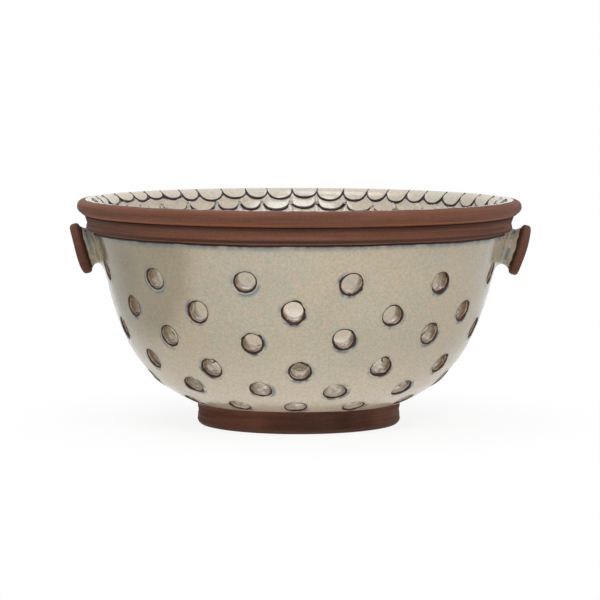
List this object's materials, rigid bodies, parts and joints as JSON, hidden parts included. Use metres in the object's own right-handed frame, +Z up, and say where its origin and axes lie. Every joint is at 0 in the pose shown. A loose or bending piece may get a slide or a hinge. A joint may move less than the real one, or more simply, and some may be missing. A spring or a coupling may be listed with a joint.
{
  "type": "berry colander bowl",
  "caption": "Footed stoneware berry bowl pierced all over with round drain holes, with a bare clay rim and foot, a knob lug on each side and a glaze coat inside and out.",
  "frame": {"origin": "on the table under the middle of the bowl, in the plane of the foot ring's resting face", "axes": "+Z up along the axis the bowl was thrown on, X through the two lugs, with the right lug on +X, and the pictured front on -Y"},
  "size_m": [0.2104, 0.203, 0.103],
  "materials": {
    "clay_body": "matte",
    "bare_clay": "matte",
    "outside_glaze": "gloss",
    "inside_glaze": "gloss"
  },
  "bodies": {
    "root": {"bowl_wall": "clay_body", "rim_collar": "bare_clay", "rim_lip": "bare_clay", "foot_ring": "bare_clay", "outside_glaze": "outside_glaze", "inside_glaze": "inside_glaze", "left_lug_stem": "clay_body", "left_lug_glaze": "outside_glaze", "left_lug_button": "bare_clay", "right_lug_stem": "clay_body", "right_lug_glaze": "outside_glaze", "right_lug_button": "bare_clay"}
  },
  "joints": []
}
